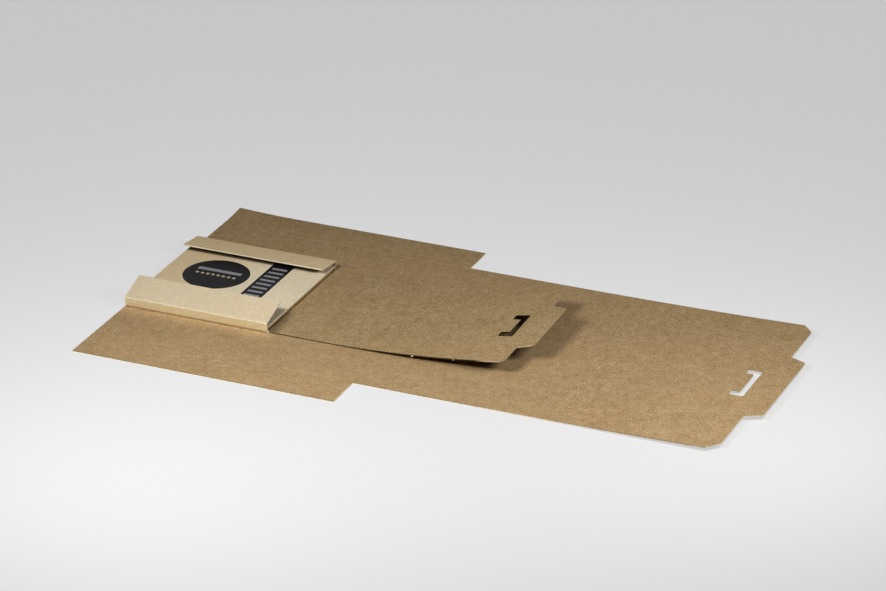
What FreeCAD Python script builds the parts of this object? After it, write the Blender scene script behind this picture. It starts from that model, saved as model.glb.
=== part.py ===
import FreeCAD, Part
import math
import os

# Corrugated board of both wraps, millimetres
board = 1.5
bend_radius = 0.2
crease_depth = 0.35
crease_width = 2.4

# Outer wrap, opened out flat: base, two side wings and one long tongue
outer_base_length = 326.0
outer_base_width = 334.0
outer_near_wing_reach = 51.4
outer_far_wing_reach = 47.0
outer_tongue_length = 430.0
outer_crease_inset = 1.5
outer_curl_start = 488.0
outer_curl_radius = 8800.0
outer_shoulder_chamfer_x = 13.0
outer_shoulder_chamfer_y = 15.5
outer_tab_length = 20.0
outer_tab_root_width = 161.0
outer_tab_tip_width = 142.0
outer_slot_set_back = 17.0
outer_slot_bar = 7.2
outer_slot_depth = 17.0
outer_slot_width = 67.5
outer_slot_arm = 10.4

# Inner wrap, the same design in a smaller size, side wings folded up and in
inner_left_gap = 0.2
inner_shift_y = 4.8
inner_base_length = 182.5
inner_base_width = 186.0
wall_height = 12.0
flap_width = 39.5
near_wall_lean = 9.0
near_flap_rise = 18.0
far_wall_lean = 11.0
far_flap_rise = 7.0
inner_tongue_length = 292.0
inner_curl_start = 232.0
inner_curl_radius = 1360.0
inner_curl_skew = 10.7
inner_shoulder_chamfer_x = 5.0
inner_shoulder_chamfer_y = 6.0
inner_tab_length = 19.0
inner_tab_root_width = 110.0
inner_tab_tip_width = 97.5
inner_slot_set_back = 16.5
inner_slot_bar = 7.4
inner_slot_depth = 17.6
inner_slot_width = 56.5
inner_slot_arm = 11.5

# Printed pack lying in the base of the inner wrap
pack_side_gap = 1.5
pack_left_gap = 0.8
pack_overhang_right = 0.4
pack_thickness = 5.6
pack_cover_thickness = 2.0
pack_cover_reach = 3.0
pack_corner_radius = 1.2
pack_edge_radius = 0.5

# Softening of cut corners
corner_soft = 3.0
tab_soft = 4.0
slot_soft = 2.0

# Places that follow from the sizes above
outer_length = outer_base_length + outer_tongue_length + outer_tab_length
outer_half = outer_base_width / 2
outer_near_edge = -outer_half - outer_near_wing_reach
outer_far_edge = outer_half + outer_far_wing_reach
outline_shift_y = -(outer_near_edge + outer_far_edge) / 2
outer_left = -outer_length / 2
outer_shoulder = outer_left + outer_base_length + outer_tongue_length
inner_left = outer_left + inner_left_gap
inner_half = inner_base_width / 2
inner_floor = board
inner_base_end = inner_left + inner_base_length
inner_shoulder = inner_base_end + inner_tongue_length
pack_floor = inner_floor + board
tall = 4 * (wall_height + flap_width)


def point(x, y, z=0.0):
    return FreeCAD.Vector(x, y, z)


def turned(direction, degrees):
    # Unit vector in the section plane, Y to the right and Z up
    angle = math.radians(degrees) + math.atan2(direction.z, direction.y)
    return point(0, math.cos(angle), math.sin(angle))


def corner_arc(before, corner, after, radius):
    # Tangent points and middle of the arc that rounds one corner
    to_before = (before - corner).normalize()
    to_after = (after - corner).normalize()
    half = to_before.getAngle(to_after) / 2
    reach = radius / math.tan(half)
    start = corner + to_before * reach
    end = corner + to_after * reach
    inward = (to_before + to_after).normalize()
    middle = corner + inward * (radius / math.sin(half) - radius)
    return start, middle, end


def rounded_outline(corners):
    # Closed wire through corners given as (x, y, radius), radius 0 for a sharp one
    edges = []
    count = len(corners)
    places = [point(x, y) for x, y, radius in corners]
    joints = []
    for i in range(count):
        radius = corners[i][2]
        if radius > 0:
            joints.append(corner_arc(places[i - 1], places[i], places[(i + 1) % count], radius))
        else:
            joints.append((places[i], None, places[i]))
    for i in range(count):
        start, middle, end = joints[i]
        following = joints[(i + 1) % count][0]
        if middle is not None:
            edges.append(Part.Arc(start, middle, end).toShape())
        edges.append(Part.LineSegment(end, following).toShape())
    return Part.Wire(edges)


def prism(corners, bottom, top):
    face = Part.Face(rounded_outline(corners))
    face.translate(point(0, 0, bottom))
    return face.extrude(point(0, 0, top - bottom))


def mirrored(corners):
    # The near half of a symmetric outline, then its far half in reverse order
    far = [(x, -y, radius) for x, y, radius in reversed(corners)]
    return corners + far


# One long tongue: shoulders with cut corners and a tapered tab at its end
def tongue_end(shoulder, half, chamfer_x, chamfer_y, tab_length, root_width, tip_width):
    tip = shoulder + tab_length
    return [
        (shoulder - chamfer_x, -half, corner_soft),
        (shoulder, -half + chamfer_y, corner_soft),
        (shoulder, -root_width / 2, 0),
        (tip, -tip_width / 2, tab_soft),
    ]


# Locking slot through a tongue: a bar with an arm at each end, open towards the base
def lock_slot(shoulder, set_back, bar, depth, width, arm):
    right = shoulder - set_back
    left = right - depth
    return mirrored([
        (right - bar, -width / 2 + arm, slot_soft),
        (left, -width / 2 + arm, slot_soft),
        (left, -width / 2, slot_soft),
        (right, -width / 2, slot_soft),
    ])


# Sheet with a flat run and then an upward curl of one large radius
def curled_slab(flat_from, curl_at, reach_to, radius, bottom, half_width, skew):
    run = reach_to - curl_at
    turn = run / radius
    outer_end = point(curl_at + radius * math.sin(turn), 0, bottom + radius * (1 - math.cos(turn)))
    outer_middle = point(
        curl_at + radius * math.sin(turn / 2), 0, bottom + radius * (1 - math.cos(turn / 2))
    )
    inner = radius - board
    top = bottom + board
    inner_end = point(curl_at + inner * math.sin(turn), 0, top + inner * (1 - math.cos(turn)))
    inner_middle = point(
        curl_at + inner * math.sin(turn / 2), 0, top + inner * (1 - math.cos(turn / 2))
    )
    lower_start = point(flat_from, 0, bottom)
    lower_turn = point(curl_at, 0, bottom)
    upper_start = point(flat_from, 0, top)
    upper_turn = point(curl_at, 0, top)
    edges = [
        Part.LineSegment(lower_start, lower_turn).toShape(),
        Part.Arc(lower_turn, outer_middle, outer_end).toShape(),
        Part.LineSegment(outer_end, inner_end).toShape(),
        Part.Arc(inner_end, inner_middle, upper_turn).toShape(),
        Part.LineSegment(upper_turn, upper_start).toShape(),
        Part.LineSegment(upper_start, lower_start).toShape(),
    ]
    section = Part.Face(Part.Wire(edges))
    section.translate(point(0, -half_width, 0))
    slab = section.extrude(point(0, 2 * half_width, 0))
    slab.rotate(point(curl_at, 0, 0), point(0, 0, 1), skew)
    return slab


def crease(from_x, to_x, y, face_z):
    # Round-bottomed score line pressed into an upper face
    radius = (crease_width ** 2 / 4 + crease_depth ** 2) / (2 * crease_depth)
    return Part.makeCylinder(
        radius, to_x - from_x, point(from_x, y, face_z + radius - crease_depth), point(1, 0, 0)
    )


def outer_wrap():
    base_end = outer_left + outer_base_length
    tongue = tongue_end(
        outer_shoulder, outer_half, outer_shoulder_chamfer_x, outer_shoulder_chamfer_y,
        outer_tab_length, outer_tab_root_width, outer_tab_tip_width,
    )
    tongue = mirrored([(base_end, -outer_half, 0)] + tongue)
    outline = [
        (outer_left, outer_near_edge, 0), (base_end, outer_near_edge, 0),
    ] + tongue + [
        (base_end, outer_far_edge, 0), (outer_left, outer_far_edge, 0),
    ]
    slab = curled_slab(
        outer_left - board, outer_left + outer_curl_start, outer_left + outer_length + outer_half,
        outer_curl_radius, 0, outer_base_width, 0,
    )
    sheet = slab.common(prism(outline, -board, tall))
    slot = lock_slot(
        outer_shoulder, outer_slot_set_back, outer_slot_bar,
        outer_slot_depth, outer_slot_width, outer_slot_arm,
    )
    sheet = sheet.cut(prism(slot, -board, tall))
    first = outer_half - outer_crease_inset
    second = first + wall_height
    for y in (-second, -first, first, second):
        sheet = sheet.cut(crease(outer_left - board, base_end + board, y, board))
    return sheet


def folded_section(outside, thickness, radius):
    # Face of a bent strip: its outside corners in order, material to their left
    count = len(outside)
    outer_joints = [(outside[0], None, outside[0])]
    for i in range(1, count - 1):
        outer_joints.append(
            corner_arc(outside[i - 1], outside[i], outside[i + 1], radius + thickness)
        )
    outer_joints.append((outside[-1], None, outside[-1]))
    edges = []
    inner_edges = []
    for i in range(count - 1):
        start = outer_joints[i][2]
        end = outer_joints[i + 1][0]
        across = turned(end - start, 90) * thickness
        edges.append(Part.LineSegment(start, end).toShape())
        inner_edges.append(Part.LineSegment(end + across, start + across).toShape())
        if i < count - 2:
            bend_end = outer_joints[i + 1][2]
            following = turned(outside[i + 2] - outside[i + 1], 90) * thickness
            centre = end + across * ((radius + thickness) / thickness)
            middle = outer_joints[i + 1][1]
            inner_middle = centre + (middle - centre).normalize() * radius
            edges.append(Part.Arc(end, middle, bend_end).toShape())
            inner_edges.append(
                Part.Arc(bend_end + following, inner_middle, end + across).toShape()
            )
    first_across = turned(outside[1] - outside[0], 90) * thickness
    last_across = turned(outside[-1] - outside[-2], 90) * thickness
    closing = Part.LineSegment(outside[-1], outside[-1] + last_across).toShape()
    opening = Part.LineSegment(outside[0] + first_across, outside[0]).toShape()
    loop = edges + [closing] + list(reversed(inner_edges)) + [opening]
    return Part.Face(Part.Wire(loop))


# Outside corners of one folded side, from the base corner to the flap's free edge
def folded_side(side, lean, rise):
    lean_angle = math.radians(lean)
    rise_angle = math.radians(rise)
    bottom = point(0, side * inner_half, inner_floor)
    top = bottom + point(
        0, side * wall_height * math.sin(lean_angle), wall_height * math.cos(lean_angle)
    )
    tip = top + point(
        0, -side * flap_width * math.cos(rise_angle), flap_width * math.sin(rise_angle)
    )
    return [bottom, top, tip]


def inner_wrap():
    near = folded_side(-1, near_wall_lean, near_flap_rise)
    far = folded_side(1, far_wall_lean, far_flap_rise)
    section = folded_section(list(reversed(near)) + far, board, bend_radius)
    section.translate(point(inner_left, 0, 0))
    folded = section.extrude(point(inner_base_length, 0, 0))
    outline = mirrored([(inner_base_end, -inner_half, 0)] + tongue_end(
        inner_shoulder, inner_half, inner_shoulder_chamfer_x, inner_shoulder_chamfer_y,
        inner_tab_length, inner_tab_root_width, inner_tab_tip_width,
    ))
    slab = curled_slab(
        inner_left, inner_left + inner_curl_start, inner_shoulder + inner_half,
        inner_curl_radius, inner_floor, inner_base_width, inner_curl_skew,
    )
    tongue = slab.common(prism(outline, 0, tall))
    slot = lock_slot(
        inner_shoulder, inner_slot_set_back, inner_slot_bar,
        inner_slot_depth, inner_slot_width, inner_slot_arm,
    )
    tongue = tongue.cut(prism(slot, 0, tall))
    sheet = folded.fuse(tongue).removeSplitter()
    sheet.translate(point(0, inner_shift_y, 0))
    return sheet


def rounded_block(left, right, half, bottom, top, radius):
    corners = [
        (left, -half, radius),
        (right, -half, radius),
        (right, half, radius),
        (left, half, radius),
    ]
    return prism(corners, bottom, top)


def edges_at_height(shape, z):
    return [edge for edge in shape.Edges if all(abs(v.Z - z) < 1e-6 for v in edge.Vertexes)]


def printed_pack():
    left = inner_left + pack_left_gap
    right = inner_base_end + pack_overhang_right
    half = inner_half - board - pack_side_gap
    top = pack_floor + pack_thickness
    cover_bottom = top - pack_cover_thickness
    cover = rounded_block(left, right, half, cover_bottom, top, pack_corner_radius)
    cover = cover.makeFillet(pack_edge_radius, edges_at_height(cover, top))
    body = rounded_block(
        left + pack_cover_reach, right - pack_cover_reach, half - pack_cover_reach,
        pack_floor, cover_bottom, pack_corner_radius,
    )
    pack = cover.fuse(body).removeSplitter()
    pack.translate(point(0, inner_shift_y, 0))
    return pack


nodes = {
    "outer_wrap": outer_wrap(),
    "inner_wrap": inner_wrap(),
    "printed_pack": printed_pack(),
}

os.makedirs("parts", exist_ok=True)
for name, shape in nodes.items():
    shape.translate(point(0, outline_shift_y, 0))
    solid = shape.Solids[0]
    solid.exportStep("parts/" + name + ".step")
    box = solid.optimalBoundingBox(False)
    print(
        name, len(shape.Solids), "solid,", solid.isValid(), round(solid.Volume), "mm3,",
        round(box.XMin, 2), round(box.XMax, 2), round(box.YMin, 2), round(box.YMax, 2),
        round(box.ZMin, 2), round(box.ZMax, 2),
    )
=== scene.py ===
import bmesh
import bpy
import math
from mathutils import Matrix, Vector


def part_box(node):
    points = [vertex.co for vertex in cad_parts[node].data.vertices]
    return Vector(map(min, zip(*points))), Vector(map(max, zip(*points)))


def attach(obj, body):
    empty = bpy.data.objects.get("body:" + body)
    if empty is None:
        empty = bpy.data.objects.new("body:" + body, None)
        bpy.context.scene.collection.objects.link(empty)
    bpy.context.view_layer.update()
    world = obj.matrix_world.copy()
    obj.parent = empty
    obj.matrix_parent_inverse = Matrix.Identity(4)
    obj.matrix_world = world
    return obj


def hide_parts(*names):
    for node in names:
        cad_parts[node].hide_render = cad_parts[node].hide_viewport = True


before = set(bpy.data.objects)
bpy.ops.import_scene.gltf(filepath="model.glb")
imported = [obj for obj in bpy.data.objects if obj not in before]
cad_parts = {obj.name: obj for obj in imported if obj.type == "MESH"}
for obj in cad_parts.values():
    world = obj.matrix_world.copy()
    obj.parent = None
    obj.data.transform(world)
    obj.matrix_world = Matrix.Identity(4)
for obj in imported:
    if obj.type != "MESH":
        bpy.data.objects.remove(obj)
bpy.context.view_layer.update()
print("frame loaded:", ", ".join(sorted(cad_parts)))

mm = 0.001
white = (1.0, 1.0, 1.0, 1.0)
noiseMean = 0.5
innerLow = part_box("inner_wrap")[0]
packLow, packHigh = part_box("printed_pack")


# small helpers for node trees
def feed(tree, socket, value):
    if isinstance(value, bpy.types.NodeSocket):
        tree.links.new(value, socket)
    else:
        socket.default_value = value


def put(tree, kind, inputs=None, **settings):
    made = tree.nodes.new(kind)
    for name, value in settings.items():
        setattr(made, name, value)
    for name, value in (inputs or {}).items():
        feed(tree, made.inputs[name], value)
    return made


def maths(tree, operation, *values):
    return put(tree, "ShaderNodeMath", dict(enumerate(values)), operation=operation).outputs[0]


def stretched(tree, vector, sizes):  # the vector measured in cells of these sizes, in metres
    cells = tuple(1 / size for size in sizes)
    return put(tree, "ShaderNodeVectorMath", {0: vector, 1: cells}, operation="MULTIPLY").outputs[0]


def noise(tree, vector, cell, detail=2.0, roughness=0.5):
    made = put(tree, "ShaderNodeTexNoise", {
        "Vector": stretched(tree, vector, cell), "Scale": 1.0, "Detail": detail, "Roughness": roughness,
    })
    return made.outputs[0]


def ramp(tree, value, low, high, start=0.0, end=1.0):
    made = put(tree, "ShaderNodeMapRange", {
        "Value": value, "From Min": low, "From Max": high, "To Min": start, "To Max": end,
    }, interpolation_type="SMOOTHSTEP")
    return made.outputs[0]


def mixed(tree, factor, first, second, blend="MIX"):
    made = put(tree, "ShaderNodeMix", {0: factor, 6: first, 7: second}, data_type="RGBA", blend_type=blend)
    return made.outputs[2]


def alongAxes(tree, vector):
    return put(tree, "ShaderNodeSeparateXYZ", {0: vector}).outputs[:2]


def attribute(tree, name):
    return put(tree, "ShaderNodeAttribute", attribute_name=name).outputs["Fac"]


def colour(red, green, blue):  # an sRGB colour from 0 to 255, made linear
    def linear(value):
        value = value / 255
        return value / 12.92 if value <= 0.04045 else ((value + 0.055) / 1.055) ** 2.4
    return (linear(red), linear(green), linear(blue), 1.0)


def newGroup(name, inputs, outputs):
    group = bpy.data.node_groups.new(name, "ShaderNodeTree")
    for label, kind, value in inputs:
        socket = group.interface.new_socket(label, in_out="INPUT", socket_type="NodeSocket" + kind)
        socket.default_value = value
    for label, kind in outputs:
        group.interface.new_socket(label, in_out="OUTPUT", socket_type="NodeSocket" + kind)
    return group, group.nodes.new("NodeGroupInput").outputs, group.nodes.new("NodeGroupOutput").inputs


# paper fibre: fine grain, wide clouds and single fibres lying at a few angles
paper = {
    "coarseCell": (9 * mm, 12 * mm, 9 * mm),
    "coarseDetail": (4.0, 0.82),
    "coarseWeight": 1.15,
    "fineCell": (1.4 * mm, 2.4 * mm, 1.4 * mm),
    "fineDetail": (2.0, 0.7),
    "fineWeight": 2.35,
    "speckCell": (1.6 * mm, 2.0 * mm, 1.6 * mm),
    "speckDetail": 1.0,
    "speckFrom": (0.68, 0.8),
    "speckWeight": 0.28,
    "cloudCell": (52 * mm, 38 * mm, 38 * mm),
    "strandAngles": (17.0, -28.0, 74.0),
    "strandCell": (4.2 * mm, 0.34 * mm, 0.34 * mm),
    "strandDetail": 1.0,
    "strandFrom": (0.62, 0.74),
    "strandMean": 0.12,
    "grainHeight": 0.05 * mm,
    "strandHeight": 0.03 * mm,
    "darkest": 0.1,
    "redPower": 0.83,
    "bluePower": 1.31,
}


def makeFibreGrain():
    group, given, result = newGroup("fibreGrain", [
        ("Vector", "Vector", (0, 0, 0)),
        ("Grain Contrast", "Float", 0.2),
        ("Cloud Contrast", "Float", 0.1),
        ("Fibre Contrast", "Float", 0.1),
    ], [("Tone", "Float"), ("Height", "Float")])
    place = given["Vector"]
    cloud = noise(group, place, paper["cloudCell"])
    fibres = 0.0
    for angle in paper["strandAngles"]:
        turned = put(group, "ShaderNodeVectorRotate", {
            "Vector": place, "Angle": math.radians(angle),
        }, rotation_type="Z_AXIS").outputs[0]
        strands = noise(group, turned, paper["strandCell"], paper["strandDetail"])
        fibres = maths(group, "ADD", fibres, ramp(group, strands, *paper["strandFrom"]))
    dots = noise(group, place, paper["speckCell"], paper["speckDetail"])
    grain = maths(group, "MULTIPLY", ramp(group, dots, *paper["speckFrom"]), paper["speckWeight"])
    for label in ("coarse", "fine"):
        layer = noise(group, place, paper[label + "Cell"], *paper[label + "Detail"])
        swing = maths(group, "SUBTRACT", layer, noiseMean)
        grain = maths(group, "MULTIPLY_ADD", swing, paper[label + "Weight"], grain)
    tone = maths(group, "MULTIPLY_ADD", grain, given["Grain Contrast"], 1.0)
    for layer, mean, label in ((cloud, noiseMean, "Cloud"), (fibres, paper["strandMean"], "Fibre")):
        swing = maths(group, "SUBTRACT", layer, mean)
        tone = maths(group, "MULTIPLY_ADD", swing, given[label + " Contrast"], tone)
    feed(group, result["Tone"], tone)
    height = maths(group, "MULTIPLY", grain, paper["grainHeight"])
    feed(group, result["Height"], maths(group, "MULTIPLY_ADD", fibres, paper["strandHeight"], height))
    return group


# faint woven grain of the pale outer liner
linen = {
    "warp": ((14 * mm, 1.1 * mm, 1.1 * mm), 1.0),
    "weft": ((1.1 * mm, 14 * mm, 14 * mm), 1.0),
    "speck": ((1.3 * mm, 1.3 * mm, 1.3 * mm), 2.0),
    "height": 0.06 * mm,
}


def makeLinenGrain():
    group, given, result = newGroup("linenGrain", [
        ("Vector", "Vector", (0, 0, 0)),
        ("Contrast", "Float", 0.08),
    ], [("Tone", "Float"), ("Height", "Float")])
    weave = 0.0
    for label in ("warp", "weft", "speck"):
        threads = noise(group, given["Vector"], *linen[label])
        weave = maths(group, "ADD", weave, maths(group, "SUBTRACT", threads, noiseMean))
    feed(group, result["Tone"], maths(group, "MULTIPLY_ADD", weave, given["Contrast"], 1.0))
    feed(group, result["Height"], maths(group, "MULTIPLY", weave, linen["height"]))
    return group


fibreGrain = makeFibreGrain()
linenGrain = makeLinenGrain()


def newMaterial(name):
    made = bpy.data.materials.new(name)
    made.use_nodes = True
    tree = made.node_tree
    return made, tree, tree.nodes["Principled BSDF"], tree.nodes.new("ShaderNodeTexCoord").outputs["Object"]


def placed(tree, group, inputs):
    made = put(tree, "ShaderNodeGroup", node_tree=group)
    for name, value in inputs.items():
        feed(tree, made.inputs[name], value)
    return made.outputs


def fibred(tree, place, look, contrast="grain"):
    return placed(tree, fibreGrain, {
        "Vector": place, "Grain Contrast": look[contrast],
        "Cloud Contrast": look["cloud"], "Fibre Contrast": look["fibres"],
    })


def woven(tree, place, contrast):
    return placed(tree, linenGrain, {"Vector": place, "Contrast": contrast})


def toned(tree, paint, tone):  # a colour made lighter or darker by a value near 1
    grey = put(tree, "ShaderNodeCombineColor", {"Red": tone, "Green": tone, "Blue": tone}).outputs[0]
    return mixed(tree, 1.0, paint, grey, "MULTIPLY")


def grained(tree, paint, tone):  # as toned, but dark fibres are also browner and light ones paler
    tone = maths(tree, "MAXIMUM", tone, paper["darkest"])
    shade = put(tree, "ShaderNodeCombineColor", {
        "Red": maths(tree, "POWER", tone, paper["redPower"]), "Green": tone,
        "Blue": maths(tree, "POWER", tone, paper["bluePower"]),
    }).outputs[0]
    return mixed(tree, 1.0, paint, shade, "MULTIPLY")


def finishSurface(tree, surface, look, paint, height):
    feed(tree, surface.inputs["Base Color"], paint)
    surface.inputs["Roughness"].default_value = look["roughness"]
    surface.inputs["Specular IOR Level"].default_value = look["specular"]
    bump = put(tree, "ShaderNodeBump", {"Height": height, "Strength": 1.0, "Distance": 1.0})
    feed(tree, surface.inputs["Normal"], bump.outputs[0])


# brown inner liner of both boards
kraft = {
    "outer": colour(171, 143, 103),
    "inner": colour(166, 140, 100),
    "outerGrain": 0.8,
    "innerGrain": 0.9,
    "cloud": 0.25,
    "fibres": 0.15,
    "roughness": 0.82,
    "specular": 0.1,
    "creaseX": 32.2 * mm,
    "creaseWidth": 5 * mm,
    "creaseDepth": 0.12 * mm,
    # painted light and shade: the large sheet is painted paler beside the near wall as bounced light, and
    # dark along the wall's foot
    "paintedBounceWidth": 26 * mm,
    "paintedBounceTone": 1.33,
    "paintedBounceEnd": 20 * mm,
    "paintedFootShadeWidth": 1.4 * mm,
    "paintedFootShadeTone": 0.25,
    "wallEdge": 0.1 * mm,
    # painted shadow of the near flap on the small sheet beside the pack
    "flapShadowWidth": (3 * mm, 15 * mm),
    "flapShadowLength": (30 * mm, 66 * mm),
    "flapShadowTone": 0.45,
}


# painted light and shade beside the folded near wall: a paler band of bounced light and a dark contact
# shade at its foot
def paintedLightAndShadeBesideWall(tree, x, y):  # the large sheet is paler beside the folded near wall, and dark at its foot
    away = maths(tree, "SUBTRACT", innerLow.y, y)
    strip = ramp(tree, away, 0.0, kraft["paintedBounceWidth"], kraft["paintedBounceTone"], 1.0)
    foot = ramp(tree, away, 0.0, kraft["paintedFootShadeWidth"], kraft["paintedFootShadeTone"], 1.0)
    change = maths(tree, "SUBTRACT", maths(tree, "MULTIPLY", strip, foot), 1.0)
    alongside = ramp(tree, x, packHigh.x, packHigh.x + kraft["paintedBounceEnd"], 1.0, 0.0)
    outside = ramp(tree, away, -kraft["wallEdge"], 0.0)
    return maths(tree, "MULTIPLY_ADD", maths(tree, "MULTIPLY", change, alongside), outside, 1.0)


# painted shadow: the small sheet is painted darker where the near flap's shadow falls past the pack's end
def paintedShadowBesidePack(tree, x, y):  # the small sheet is darker beside the pack, where the near flap ends
    aside = ramp(tree, maths(tree, "SUBTRACT", x, packHigh.x), *kraft["flapShadowWidth"], 1.0, 0.0)
    along = ramp(tree, maths(tree, "SUBTRACT", y, packLow.y), *kraft["flapShadowLength"], 1.0, 0.0)
    near = maths(tree, "MULTIPLY", aside, along)
    return maths(tree, "MULTIPLY_ADD", near, kraft["flapShadowTone"] - 1.0, 1.0)


def makeKraft(name, side):
    made, tree, surface, place = newMaterial(name)
    fibre = fibred(tree, place, kraft, side + "Grain")
    x, y = alongAxes(tree, place)
    # painted light and shade: beside the wall on the large sheet, and the near flap's shadow beside the
    # pack on the small one
    beside = paintedShadowBesidePack if side == "inner" else paintedLightAndShadeBesideWall
    paint = toned(tree, grained(tree, kraft[side], fibre["Tone"]), beside(tree, x, y))
    height = fibre["Height"]
    if side == "inner":  # the small tongue has once been bent back here
        away = maths(tree, "ABSOLUTE", maths(tree, "SUBTRACT", x, kraft["creaseX"]))
        dip = ramp(tree, away, 0.0, kraft["creaseWidth"], -kraft["creaseDepth"], 0.0)
        height = maths(tree, "ADD", height, dip)
    finishSurface(tree, surface, kraft, paint, height)
    return made


# pale outer liner, lighter along the folds: partly rubbed wear, partly a painted highlight
cream = {
    "liner": colour(217, 199, 166),
    # the walls' painted light
    "paintedLitWall": colour(232, 213, 169),
    "foldWearAndHighlight": colour(229, 215, 186),
    "browned": colour(229, 204, 160),
    # painted shade: the small tongue's underside is painted brown, which darkens the gap under it
    "paintedShadeUnderTongue": colour(110, 90, 64),
    "paintedShadeUnderTongueFrom": (1 * mm, 2 * mm),
    "patchCell": (5 * mm, 5 * mm, 5 * mm),
    "patchDetail": 3.0,
    "patchFrom": (0.3, 0.6),
    "foldWearAndHighlightShare": (0.35, 0.95),
    "weave": 0.28,
    "grain": 0.05,
    "cloud": 0.05,
    "fibres": 0.02,
    "roughness": 0.75,
    "specular": 0.12,
}

# the pack's card: a painted light gradient makes it paler past a place along X, and a painted shadow
# darkens it under the far flap but not at its open end
card = {
    "top": colour(227, 204, 163),
    "side": colour(222, 200, 160),
    "far": colour(238, 224, 192),
    "farFrom": (20 * mm, 115 * mm),
    "paintedFlapShadeTone": 0.25,
    "paintedFlapShadeFrom": (-28.5 * mm, -26 * mm),
    "openEnd": (-16 * mm, -7 * mm),
    "sideUpTo": 0.35,
}


def shifted(start, reaches):
    return [start + reach for reach in reaches]


def makeCream(name, paint, far=None, paintedFlapShade=False):
    made, tree, surface, place = newMaterial(name)
    weave = woven(tree, place, cream["weave"])
    fibre = fibred(tree, place, cream)
    x, y = alongAxes(tree, place)
    # past one place along X another colour: on the pack's card a painted light gradient, on the small
    # tongue's underside painted shade
    if far:  # another colour past one place along X
        farPaint, farFrom = far
        paint = mixed(tree, ramp(tree, x, *farFrom), paint, farPaint)
    # painted shadow of the far flap on the card under it
    if paintedFlapShade:
        under = ramp(tree, y, *shifted(packHigh.y, card["paintedFlapShadeFrom"]))
        inside = ramp(tree, x, *shifted(packHigh.x, card["openEnd"]), 1.0, 0.0)
        dark = maths(tree, "MULTIPLY", under, inside)
        paint = toned(tree, paint, maths(tree, "MULTIPLY_ADD", dark, card["paintedFlapShadeTone"] - 1.0, 1.0))
    # the far flap is browner, and the walls get a painted light
    for label in ("browned", "paintedLitWall"):
        paint = mixed(tree, attribute(tree, label), paint, cream[label])
    # along the folds, patches partly of rubbed wear and partly of painted highlight
    patchy = noise(tree, place, cream["patchCell"], cream["patchDetail"])
    share = ramp(tree, patchy, *cream["patchFrom"], *cream["foldWearAndHighlightShare"])
    foldWearAndHighlightMask = maths(tree, "MULTIPLY", attribute(tree, "ridge"), share)
    paint = mixed(tree, foldWearAndHighlightMask, paint, cream["foldWearAndHighlight"])
    paint = grained(tree, paint, maths(tree, "MULTIPLY", weave["Tone"], fibre["Tone"]))
    finishSurface(tree, surface, cream, paint, maths(tree, "ADD", weave["Height"], fibre["Height"]))
    return made


# cut edge of the board: brown liner above, waved middle with painted shade in the open flutes, pale liner
# below
cutEdge = {
    "kraft": colour(150, 122, 86),
    "middle": colour(112, 88, 60),
    "fluteShade": colour(36, 27, 18),
    "pale": colour(240, 228, 202),
    "shaded": colour(58, 44, 30),
    "lessShaded": colour(98, 80, 57),
    "shadedFrom": (-115 * mm, -55 * mm),
    "shadedTo": (40 * mm, 70 * mm),
    # painted highlights on the tongue's cut edge, and painted shade in its slot
    "raisedHighlight": colour(206, 188, 150),
    "raisedFrom": (50 * mm, 68 * mm),
    "slotWall": colour(18, 13, 9),
    "endHighlight": colour(196, 178, 142),
    "flutePitch": 3.2 * mm,
    "fluteWidth": (0.04, 0.09),
    "paleShare": 0.6,
    "foldedPaleShare": 0.86,
    "kraftShare": 0.9,
    "blend": 0.03,
    "foldedTo": 1 * mm,
    "fade": 1 * mm,
    "grain": 0.3,
    "cloud": 0.1,
    "fibres": 0.1,
    "roughness": 0.9,
    "specular": 0.08,
}


def upTo(tree, across, share):  # 1 up to this share of the edge's height, and 0 above it
    return ramp(tree, across, share - cutEdge["blend"], share + cutEdge["blend"], 1.0, 0.0)


def fluted(tree, x, across):
    swing = maths(tree, "SINE", maths(tree, "MULTIPLY", x, 2 * math.pi / cutEdge["flutePitch"]))
    middle = (cutEdge["paleShare"] + cutEdge["kraftShare"]) / 2
    reach = (cutEdge["kraftShare"] - cutEdge["paleShare"]) / 2
    wave = maths(tree, "MULTIPLY_ADD", swing, reach, middle)
    away = maths(tree, "ABSOLUTE", maths(tree, "SUBTRACT", across, wave))
    flute = ramp(tree, away, *cutEdge["fluteWidth"], 1.0, 0.0)
    paint = mixed(tree, flute, cutEdge["fluteShade"], cutEdge["middle"])
    paint = mixed(tree, upTo(tree, across, cutEdge["paleShare"]), paint, cutEdge["pale"])
    return mixed(tree, upTo(tree, across, cutEdge["kraftShare"]), cutEdge["kraft"], paint)


# painted shade and light on the small tongue's cut edge: darkened in its middle stretch, painted pale where
# it rises, and painted black in its slot
def tongueShade(tree, x, slotWall):
    coming = ramp(tree, x, *cutEdge["shadedFrom"])
    going = ramp(tree, x, *cutEdge["shadedTo"], 1.0, 0.0)
    shade = mixed(tree, maths(tree, "MULTIPLY", coming, going), cutEdge["lessShaded"], cutEdge["shaded"])
    shade = mixed(tree, ramp(tree, x, *cutEdge["raisedFrom"]), shade, cutEdge["raisedHighlight"])
    return mixed(tree, slotWall, shade, cutEdge["slotWall"])


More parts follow.
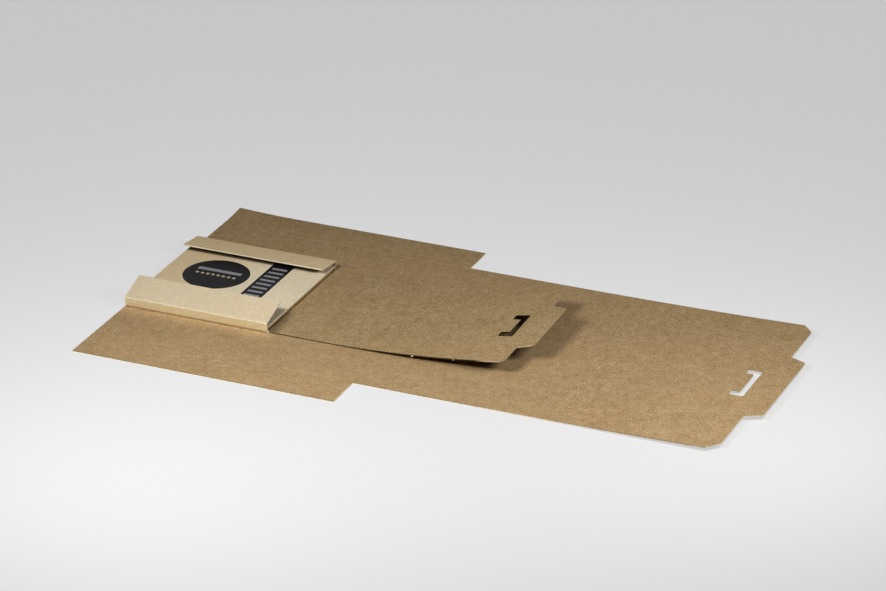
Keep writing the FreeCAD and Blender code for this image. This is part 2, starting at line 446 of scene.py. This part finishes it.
def makeCutEdge(name, folded):  # the folded sheet's tongue has its own painted shade and light, past its folded part
    made, tree, surface, place = newMaterial(name)
    across = attribute(tree, "across")
    x = alongAxes(tree, place)[0]
    paint = fluted(tree, x, across)
    # cut edges that face along the tongues are painted pale, a painted highlight
    litEndFacing = attribute(tree, "litEndFacing")
    if folded:
        slotWall = attribute(tree, "slotWall")
        start = packHigh.x + cutEdge["foldedTo"]
        beyond = ramp(tree, x, start, start + cutEdge["fade"])
        paint = mixed(tree, upTo(tree, across, cutEdge["foldedPaleShare"]), paint, cutEdge["pale"])
        paint = mixed(tree, beyond, paint, tongueShade(tree, x, slotWall))
        outside = maths(tree, "SUBTRACT", 1.0, maths(tree, "MULTIPLY", slotWall, beyond))
        litEndFacing = maths(tree, "MULTIPLY", litEndFacing, outside)
        paint = mixed(tree, litEndFacing, paint, mixed(tree, beyond, cutEdge["pale"], cutEdge["endHighlight"]))
    else:
        paint = mixed(tree, litEndFacing, paint, cutEdge["pale"])
    ragged = fibred(tree, place, cutEdge)
    finishSurface(tree, surface, cutEdge, toned(tree, paint, ragged["Tone"]), ragged["Height"])
    return made


# printing ink, a little glossier than the paper under it
ink = {
    "black": (colour(24, 22, 24), 0.25),
    "grey": (colour(146, 146, 151), 0.12),
    "cream": (colour(206, 190, 156), 0.08),
    "roughness": 0.6,
    "specular": 0.06,
}


def makeInk(label):
    made, tree, surface, place = newMaterial(label + "Ink")
    paint, wear = ink[label]
    weave = woven(tree, place, wear)
    finishSurface(tree, surface, ink, toned(tree, paint, weave["Tone"]), weave["Height"])
    return made


kraftFlat = makeKraft("kraftLiner", "outer")
kraftCreased = makeKraft("kraftLinerCreased", "inner")
outerLiner = makeCream("outerPaleLiner", cream["liner"])
# painted shade on the small tongue's underside, past the pack
paintedShadeUnderTongue = (cream["paintedShadeUnderTongue"], shifted(packHigh.x, cream["paintedShadeUnderTongueFrom"]))
innerLiner = makeCream("innerPaleLiner", cream["liner"], paintedShadeUnderTongue)
packCard = makeCream("packCard", card["top"], (card["far"], shifted(packLow.x, card["farFrom"])), True)
packSide = makeCream("packSide", card["side"])
outerEdge = makeCutEdge("outerCutEdge", False)
innerEdge = makeCutEdge("innerCutEdge", True)
blackInk = makeInk("black")
greyInk = makeInk("grey")
creamInk = makeInk("cream")
print("materials made:", len(bpy.data.materials))


def addPiece(name, made, replaced=None):
    piece = bpy.data.objects.new(name, made)
    bpy.context.scene.collection.objects.link(piece)
    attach(piece, "root")
    if replaced:
        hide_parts(replaced)
    return piece


def meshOf(name, mesh, *finishes):
    made = bpy.data.meshes.new(name)
    mesh.to_mesh(made)
    mesh.free()
    for material in finishes:
        made.materials.append(material)
    return made


def keepFlat(piece):  # large faces stay flat, and the strips beside them shade into them
    weights = piece.modifiers.new("weights", "WEIGHTED_NORMAL")
    weights.mode = "FACE_AREA"
    weights.weight = 100
    weights.keep_sharp = True


# board sheets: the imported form, parted into brown face (0), pale face (1) and cut edge (2)
sheet = {
    "mergeWithin": 0.002 * mm,
    "flatWithin": math.radians(0.05),
    "sameFaceWithin": math.radians(50),
    "faceUp": 0.9,
    "bendFrom": math.radians(5),
    "foldLength": 100 * mm,
    "flapUp": 0.5,
    "litEndFacing": 0.4,
    "slotReach": 58 * mm,
    "tabReach": 30 * mm,
    "slotMiddleY": 4.6 * mm,
    "slotHalf": 40 * mm,
    "edgeChamfer": 0.12 * mm,
    "smoothWithin": math.radians(30),
}


def copiedMesh(nodeName):
    mesh = bmesh.new()
    mesh.from_mesh(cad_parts[nodeName].data)
    bmesh.ops.remove_doubles(mesh, verts=mesh.verts, dist=sheet["mergeWithin"])
    bmesh.ops.dissolve_limit(
        mesh, angle_limit=sheet["flatWithin"], verts=mesh.verts, edges=mesh.edges, delimit={"NORMAL"},
    )
    return mesh


def smoothed(mesh):
    for edge in mesh.edges:
        edge.smooth = edge.calc_face_angle(math.pi) < sheet["smoothWithin"]
    for face in mesh.faces:
        face.smooth = True


def spreadFrom(seed, limit):  # all faces that follow on from one face without a sharp edge
    found = {seed}
    waiting = [seed]
    while waiting:
        face = waiting.pop()
        for edge in face.edges:
            if len(edge.link_faces) == 2 and edge.calc_face_angle(0) < limit:
                for neighbour in edge.link_faces:
                    if neighbour not in found:
                        found.add(neighbour)
                        waiting.append(neighbour)
    return found


def largestFace(mesh, up):
    flat = [face for face in mesh.faces if face.normal.z * up > sheet["faceUp"]]
    return max(flat, key=lambda face: face.calc_area())


# what a face is, marked as 1 or 0 for the materials
def onRidge(face):  # the narrow strips that turn round a fold
    turns = [edge.calc_face_angle(0) for edge in face.edges if edge.calc_length() > sheet["foldLength"]]
    bent = [turn for turn in turns if sheet["bendFrom"] < turn < sheet["sameFaceWithin"]]
    return face.material_index == 1 and len(bent) > 1


def onFarFlap(face):  # the pale liner is browner there
    upward = face.normal.z > sheet["flapUp"]
    return face.material_index == 1 and upward and face.calc_center_median().y > 0


def onWall(face):  # the folded-up walls get a painted light, paler and warmer than the flaps
    return face.material_index == 1 and abs(face.normal.z) < sheet["flapUp"]


def facesEnd(face):  # the cut edges that face along the tongues
    return face.material_index == 2 and face.normal.x > sheet["litEndFacing"]


def inSlot(face, tip):  # the walls of the lock slot, well inside the sheet's outline
    place = face.calc_center_median()
    alongX = tip - sheet["slotReach"] < place.x < tip - sheet["tabReach"]
    alongY = abs(place.y - sheet["slotMiddleY"]) < sheet["slotHalf"]
    return face.material_index == 2 and alongX and alongY


def markFaces(mesh):
    tip = max(vertex.co.x for vertex in mesh.verts)
    marks = {
        "ridge": onRidge, "browned": onFarFlap, "paintedLitWall": onWall, "litEndFacing": facesEnd,
        "slotWall": lambda face: inSlot(face, tip),
    }
    for label, isMarked in marks.items():
        layer = mesh.faces.layers.float.new(label)
        for face in mesh.faces:
            face[layer] = float(isMarked(face))


def markAcross(mesh):  # 1 on the brown face, 0 on the pale one, between them on the cut edge
    layer = mesh.verts.layers.float.new("across")
    for vertex in mesh.verts:
        sides = {face.material_index for face in vertex.link_faces}
        nearby = {face.material_index for edge in vertex.link_edges
                  for face in edge.other_vert(vertex).link_faces}
        brown = 0 in sides or (1 not in sides and 0 in nearby)
        vertex[layer] = float(brown)


def boardSheet(name, nodeName, finishes, reshape=None):
    mesh = copiedMesh(nodeName)
    brownFaces = spreadFrom(largestFace(mesh, 1), sheet["sameFaceWithin"])
    paleFaces = spreadFrom(largestFace(mesh, -1), sheet["sameFaceWithin"])
    for face in mesh.faces:
        face.material_index = 0 if face in brownFaces else 1 if face in paleFaces else 2
    rims = [edge for edge in mesh.edges if len({face.material_index for face in edge.link_faces}) == 2]
    bmesh.ops.bevel(
        mesh, geom=rims, offset=sheet["edgeChamfer"], segments=1, affect="EDGES", material=2,
        clamp_overlap=True,
    )
    markFaces(mesh)
    markAcross(mesh)
    if reshape:
        reshape(mesh)
    smoothed(mesh)
    piece = addPiece(name, meshOf(name, mesh, *finishes), nodeName)
    keepFlat(piece)
    print(name, "faces:", len(piece.data.polygons))
    return piece


# the far left corner of the large sheet is bent up a little about a slanting line
corner = {
    "reachX": 88 * mm,
    "reachY": 36 * mm,
    "lift": 2.4 * mm,
    "strips": 8,
}


def liftCorner(mesh):
    low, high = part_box("outer_wrap")
    start = Vector((low.x, high.y - corner["reachY"], 0))
    along = Vector((corner["reachX"], corner["reachY"], 0)).normalized()
    outward = Vector((-along.y, along.x, 0))
    depth = (Vector((low.x, high.y, 0)) - start).dot(outward)
    for i in range(corner["strips"]):
        bmesh.ops.bisect_plane(
            mesh, geom=mesh.verts[:] + mesh.edges[:] + mesh.faces[:],
            plane_co=start + outward * (depth * i / corner["strips"]), plane_no=outward,
        )
    for vertex in mesh.verts:
        past = max((vertex.co - start).dot(outward), 0.0)
        vertex.co.z += corner["lift"] * (past / depth) ** 2


boardSheet("outerBoard", "outer_wrap", (kraftFlat, outerLiner, outerEdge), liftCorner)
innerBoard = boardSheet("innerBoard", "inner_wrap", (kraftCreased, innerLiner, innerEdge))


# torn nicks on the small tongue's near edge, where the blank was held in its sheet
nicks = {
    "places": (-24.8 * mm, 25.9 * mm),
    "radii": (1.3 * mm, 0.8 * mm),
    "flattened": Vector((1.2, 0.7, 0.6)),
    "ragged": 0.22,
    "raggedStep": 5.1,
    "sunk": 0.3,
    "nearShare": 0.4,
    "tongueFrom": -0.2,
    "colour": colour(228, 216, 190),
    "grain": 0.2,
    "cloud": 0.0,
    "fibres": 0.1,
    "roughness": 0.95,
}


def makeTornFibre():
    made, tree, surface, place = newMaterial("tornFibre")
    fibre = fibred(tree, place, nicks)
    feed(tree, surface.inputs["Base Color"], toned(tree, nicks["colour"], fibre["Tone"]))
    surface.inputs["Roughness"].default_value = nicks["roughness"]
    return made


def tornNicks():
    nearEdge = -nicks["nearShare"] * innerBoard.dimensions.y
    places = [vertex.co for vertex in innerBoard.data.vertices]
    edge = [co for co in places if co.y < nearEdge and co.x > nicks["tongueFrom"]]
    mesh = bmesh.new()
    for x, radius in zip(nicks["places"], nicks["radii"]):
        left = max((co for co in edge if co.x <= x), key=lambda co: (co.x, co.z))
        right = min((co for co in edge if co.x >= x), key=lambda co: (co.x, -co.z))
        top = left.lerp(right, (x - left.x) / max(right.x - left.x, mm))
        middle = Vector((x, top.y, top.z - nicks["sunk"] * radius))
        ball = bmesh.ops.create_icosphere(mesh, subdivisions=2, radius=radius)
        for i, vertex in enumerate(ball["verts"]):
            ragged = 1 + nicks["ragged"] * math.sin(nicks["raggedStep"] * i)
            vertex.co = vertex.co * nicks["flattened"] * ragged + middle
    addPiece("tornNicks", meshOf("tornNicks", mesh, makeTornFibre()))


tornNicks()


# printed pack: pale card, its sides a little browner
def makePack():
    mesh = copiedMesh("printed_pack")
    for face in mesh.faces:
        face.material_index = 1 if abs(face.normal.z) < card["sideUpTo"] else 0
    smoothed(mesh)
    body = meshOf("packBody", mesh, packCard, packSide)
    keepFlat(addPiece("packBody", body, "printed_pack"))


makePack()
packMiddle = (packLow + packHigh) / 2
print("pack made, top at", round(packHigh.z / mm, 2), "mm")


# plain printed design: a disc, a band with a ladder of bars, one long bar and a row of ticks
design = {
    "film": 0.03 * mm,
    "shiftX": -4 * mm,
    "shiftY": 10 * mm,
    "discX": -23 * mm,
    "discY": 3 * mm,
    "discRadius": 40 * mm,
    "discSteps": 96,
    "bandX": 40 * mm,
    "bandWidth": 27 * mm,
    "bandLength": 121 * mm,
    "barCount": 9,
    "barPitch": 11 * mm,
    "barLength": 19 * mm,
    "barWidth": 4.6 * mm,
    "longBarLength": 56 * mm,
    "longBarWidth": 6.5 * mm,
    "longBarY": 10 * mm,
    "tickCount": 8,
    "tickPitch": 6.8 * mm,
    "tickSize": 3.6 * mm,
    "tickY": -2 * mm,
}


def filmFrom(name, outline, layer, material):
    low = packHigh.z + (layer - 1) * design["film"]
    mesh = bmesh.new()
    face = mesh.faces.new([mesh.verts.new((x, y, low)) for x, y in outline])
    if face.normal.z < 0:
        face.normal_flip()
    raised = bmesh.ops.extrude_face_region(mesh, geom=[face])
    for item in raised["geom"]:
        if isinstance(item, bmesh.types.BMVert):
            item.co.z += design["film"]
    bmesh.ops.recalc_face_normals(mesh, faces=mesh.faces)
    addPiece(name, meshOf(name, mesh, material))


def rectangle(x, y, length, width):
    return [
        (x - length / 2, y - width / 2), (x + length / 2, y - width / 2),
        (x + length / 2, y + width / 2), (x - length / 2, y + width / 2),
    ]


def circle(x, y, radius):
    turns = [2 * math.pi * i / design["discSteps"] for i in range(design["discSteps"])]
    return [(x + radius * math.cos(turn), y + radius * math.sin(turn)) for turn in turns]


# a row of equal printed blocks, laid out by geometry nodes
rowInputs = {"Count": "Int", "Start": "Vector", "Step": "Vector", "Block": "Vector", "Ink": "Material"}


def makeRowTree():
    tree = bpy.data.node_groups.new("printedRow", "GeometryNodeTree")
    tree.interface.new_socket("Geometry", in_out="INPUT", socket_type="NodeSocketGeometry")
    for label, kind in rowInputs.items():
        tree.interface.new_socket(label, in_out="INPUT", socket_type="NodeSocket" + kind)
    tree.interface.new_socket("Geometry", in_out="OUTPUT", socket_type="NodeSocketGeometry")
    given = tree.nodes.new("NodeGroupInput").outputs
    result = tree.nodes.new("NodeGroupOutput").inputs
    row = put(tree, "GeometryNodeMeshLine", {
        "Count": given["Count"], "Start Location": given["Start"], "Offset": given["Step"],
    }, mode="OFFSET").outputs[0]
    block = put(tree, "GeometryNodeMeshCube", {"Size": given["Block"]}).outputs[0]
    laid = put(tree, "GeometryNodeInstanceOnPoints", {"Points": row, "Instance": block}).outputs[0]
    solid = put(tree, "GeometryNodeRealizeInstances", {"Geometry": laid}).outputs[0]
    inked = put(tree, "GeometryNodeSetMaterial", {"Geometry": solid, "Material": given["Ink"]}).outputs[0]
    feed(tree, result["Geometry"], inked)
    return tree


rowTree = makeRowTree()


def printedRow(name, values):
    holder = bpy.data.objects.new(name + "Holder", bpy.data.meshes.new(name + "Holder"))
    bpy.context.scene.collection.objects.link(holder)
    modifier = holder.modifiers.new("row", "NODES")
    modifier.node_group = rowTree
    for item in rowTree.interface.items_tree:
        if item.in_out == "INPUT" and item.name in values:
            modifier[item.identifier] = values[item.name]
    shown = holder.evaluated_get(bpy.context.evaluated_depsgraph_get())
    made = bpy.data.meshes.new_from_object(shown)
    made.name = name
    bpy.data.objects.remove(holder)
    addPiece(name, made)


def printDesign():
    x = packMiddle.x + design["shiftX"]
    y = packMiddle.y + design["shiftY"]
    discX = x + design["discX"]
    discY = y + design["discY"]
    bandX = x + design["bandX"]
    filmFrom("printDisc", circle(discX, discY, design["discRadius"]), 1, blackInk)
    filmFrom("printBand", rectangle(bandX, y, design["bandWidth"], design["bandLength"]), 1, blackInk)
    longBar = rectangle(discX, discY + design["longBarY"], design["longBarLength"], design["longBarWidth"])
    filmFrom("printLongBar", longBar, 2, greyInk)
    level = packHigh.z + 1.5 * design["film"]  # middle of the second film
    ladderHalf = design["barPitch"] * (design["barCount"] - 1) / 2
    printedRow("printLadder", {
        "Count": design["barCount"],
        "Start": (bandX, y - ladderHalf, level),
        "Step": (0.0, design["barPitch"], 0.0),
        "Block": (design["barLength"], design["barWidth"], design["film"]),
        "Ink": greyInk,
    })
    ticksHalf = design["tickPitch"] * (design["tickCount"] - 1) / 2
    printedRow("printTicks", {
        "Count": design["tickCount"],
        "Start": (discX - ticksHalf, discY + design["tickY"], level),
        "Step": (design["tickPitch"], 0.0, 0.0),
        "Block": (design["tickSize"], design["tickSize"], design["film"]),
        "Ink": creamInk,
    })


printDesign()
print("print laid on the pack")


# floor, lights and camera
studio = {
    "floorSize": 30.0,
    "floorColour": (0.7, 0.7, 0.7, 1.0),
    "floorRoughness": 0.9,
    "floorGlow": (0.88, 0.88, 0.88, 1.0),
    "floorGlowShare": 0.6,
    "skyStrength": 0.02,
    "keyAzimuth": -107.0,
    "keyElevation": 43.0,
    "keyDistance": 0.84,
    "keySize": 0.26,
    "keyPower": 5.17,
    "fillAzimuth": -14.0,
    "fillElevation": 37.0,
    "fillDistance": 0.76,
    "fillSize": 0.25,
    "fillPower": 2.45,
    "middle": Vector((-0.05, 0.0, 0.0)),
}


def seenDirectly(tree):  # 1 for what the camera, a reflection or glass shows
    path = put(tree, "ShaderNodeLightPath").outputs
    seen = maths(tree, "MAXIMUM", path["Is Camera Ray"], path["Is Glossy Ray"])
    return maths(tree, "MAXIMUM", seen, path["Is Transmission Ray"])


def makeFloor():  # it glows a little where it is seen, and is clear from below
    material, tree, surface = newMaterial("paleFloor")[:3]
    surface.inputs["Base Color"].default_value = studio["floorColour"]
    surface.inputs["Roughness"].default_value = studio["floorRoughness"]
    seen = seenDirectly(tree)
    below = put(tree, "ShaderNodeNewGeometry").outputs["Backfacing"]
    glow = put(tree, "ShaderNodeEmission", {"Color": studio["floorGlow"]}).outputs[0]
    pale = put(tree, "ShaderNodeMixShader", {
        0: maths(tree, "MULTIPLY", seen, studio["floorGlowShare"]), 1: surface.outputs[0], 2: glow,
    }).outputs[0]
    clear = put(tree, "ShaderNodeBsdfTransparent").outputs[0]
    shown = put(tree, "ShaderNodeMixShader", {0: maths(tree, "MULTIPLY", seen, below), 1: pale, 2: clear})
    tree.links.new(shown.outputs[0], tree.nodes["Material Output"].inputs["Surface"])
    half = studio["floorSize"] / 2
    corners = [(-half, -half, 0), (half, -half, 0), (half, half, 0), (-half, half, 0)]
    made = bpy.data.meshes.new("floor")
    made.from_pydata(corners, [], [(0, 1, 2, 3)])
    made.materials.append(material)
    floor = bpy.data.objects.new("floor", made)
    bpy.context.scene.collection.objects.link(floor)


def makeSky():
    world = bpy.data.worlds.new("paleRoom")
    world.use_nodes = True
    tree = world.node_tree
    light = tree.nodes["Background"]
    light.inputs["Color"].default_value = white
    light.inputs["Strength"].default_value = studio["skyStrength"]
    room = put(tree, "ShaderNodeBackground", {"Color": white, "Strength": 1.0})
    shown = put(tree, "ShaderNodeMixShader", {
        0: seenDirectly(tree), 1: light.outputs[0], 2: room.outputs[0],
    })
    tree.links.new(shown.outputs[0], tree.nodes["World Output"].inputs["Surface"])
    bpy.context.scene.world = world


def towards(azimuth, elevation):  # unit vector, azimuth from +X towards +Y
    a = math.radians(azimuth)
    e = math.radians(elevation)
    return Vector((math.cos(a) * math.cos(e), math.sin(a) * math.cos(e), math.sin(e)))


def makeLamp(name):
    lamp = bpy.data.lights.new(name, "AREA")
    lamp.shape = "DISK"
    lamp.size = studio[name + "Size"]
    lamp.energy = studio[name + "Power"]
    away = towards(studio[name + "Azimuth"], studio[name + "Elevation"])
    holder = bpy.data.objects.new(name, lamp)
    holder.location = studio["middle"] + away * studio[name + "Distance"]
    holder.rotation_euler = (-away).to_track_quat("-Z", "Y").to_euler()
    bpy.context.scene.collection.objects.link(holder)


# azimuth from the near side (-Y) towards +X
view = {
    "target": Vector((-0.06238, 0.08877, 0.0)),
    "distance": 4.7043,
    "azimuth": 23.426,
    "elevation": 24.943,
    "lens": 163.75,
    "sensor": 36.0,
}


def makeCamera():
    camera = bpy.data.cameras.new("camera")
    camera.lens = view["lens"]
    camera.sensor_width = view["sensor"]
    holder = bpy.data.objects.new("camera", camera)
    back = towards(view["azimuth"] - 90, view["elevation"])
    holder.location = view["target"] + back * view["distance"]
    holder.rotation_euler = (-back).to_track_quat("-Z", "Y").to_euler()
    bpy.context.scene.collection.objects.link(holder)
    bpy.context.scene.camera = holder


makeFloor()
makeSky()
makeLamp("key")
makeLamp("fill")
makeCamera()
bpy.context.scene.view_settings.view_transform = "Standard"
print("studio ready")
